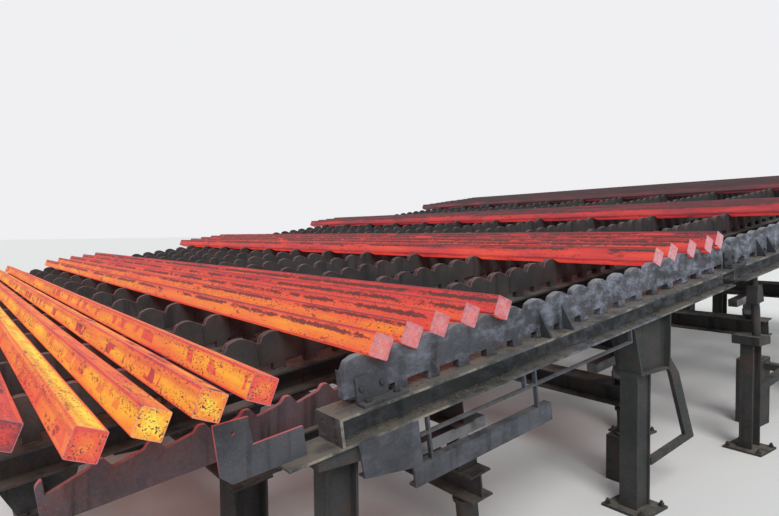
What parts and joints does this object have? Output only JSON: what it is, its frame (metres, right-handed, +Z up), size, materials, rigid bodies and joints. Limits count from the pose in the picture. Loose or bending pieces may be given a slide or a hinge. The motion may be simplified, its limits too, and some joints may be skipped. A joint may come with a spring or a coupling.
{
  "type": "walking beam cooling bed",
  "caption": "Inclined walking beam cooling bed: toothed fixed and walking rakes on steel beams and posts, carrying glowing square billets.",
  "frame": {"origin": "on the floor, under the middle of the bed's box", "axes": "+X up the slope of the bed along the level floor, +Y along the billets away from the front row, +Z up"},
  "size_m": [17.3047, 14.11, 3.8867],
  "materials": {
    "rake_steel": "matt, dusty, worn bright on the crests",
    "walking_steel": "matt, scaled by heat, browner than the fixed rakes",
    "beam_steel": "matt grey-green with dust on the flanges",
    "frame_steel": "matt dark, dusty and oily",
    "machined_steel": "turned, greasy",
    "rod_chrome": "ground and plated",
    "billet_orange": "glowing orange with yellow streaks and dark scale",
    "billet_scarlet": "glowing orange-red with dark scale",
    "billet_red": "glowing red with grey scale bands",
    "billet_dull": "dull red under scale",
    "billet_dark": "dark maroon, scaled, almost cold"
  },
  "bodies": {
    "fixed_bed": {"fixed_rake_01": "rake_steel", "fixed_rake_02": "rake_steel", "fixed_rake_03": "rake_steel", "fixed_rake_04": "rake_steel", "fixed_rake_05": "rake_steel", "fixed_rake_06": "rake_steel", "fixed_rake_07": "rake_steel", "fixed_rake_08": "rake_steel", "fixed_rake_09": "rake_steel", "fixed_rake_10": "rake_steel", "fixed_rake_11": "rake_steel", "fixed_rake_12": "rake_steel", "front_beams": "beam_steel", "inner_beams": "beam_steel", "beam_stools": "frame_steel", "cross_girders": "frame_steel", "columns": "frame_steel", "base_plates": "frame_steel", "front_supports": "frame_steel", "front_trestles": "beam_steel", "lower_beam": "beam_steel", "front_ties": "beam_steel", "gusset_plates": "beam_steel", "clamp_plates": "beam_steel", "entry_plate": "beam_steel", "lift_cylinders": "frame_steel", "cylinder_pedestals": "frame_steel", "orange_billets": "billet_orange", "scarlet_billets": "billet_scarlet", "red_billets": "billet_red", "dull_billets": "billet_dull", "dark_billets": "billet_dark"},
    "lift_frame": {"roller_brackets": "frame_steel", "rollers": "machined_steel", "lift_girders": "frame_steel", "lift_rods": "rod_chrome"},
    "walking_frame": {"walking_rake_01": "walking_steel", "walking_rake_02": "walking_steel", "walking_rake_03": "walking_steel", "walking_rake_04": "walking_steel", "walking_rake_05": "walking_steel", "walking_rake_06": "walking_steel", "walking_rake_07": "walking_steel", "walking_rake_08": "walking_steel", "walking_rake_09": "walking_steel", "walking_rake_10": "walking_steel", "walking_rake_11": "walking_steel", "walking_beams": "frame_steel", "walking_girders": "frame_steel", "runner_shoes": "machined_steel"}
  },
  "joints": [
    {"name": "lift", "type": "slide", "parent": "fixed_bed", "child": "lift_frame", "axis": [-0.1283, 0, 0.9917], "range_m": [0, 0.16]},
    {"name": "walk", "type": "slide", "parent": "lift_frame", "child": "walking_frame", "axis": [0.9917, 0, 0.1283], "range_m": [0, 0.279]}
  ]
}
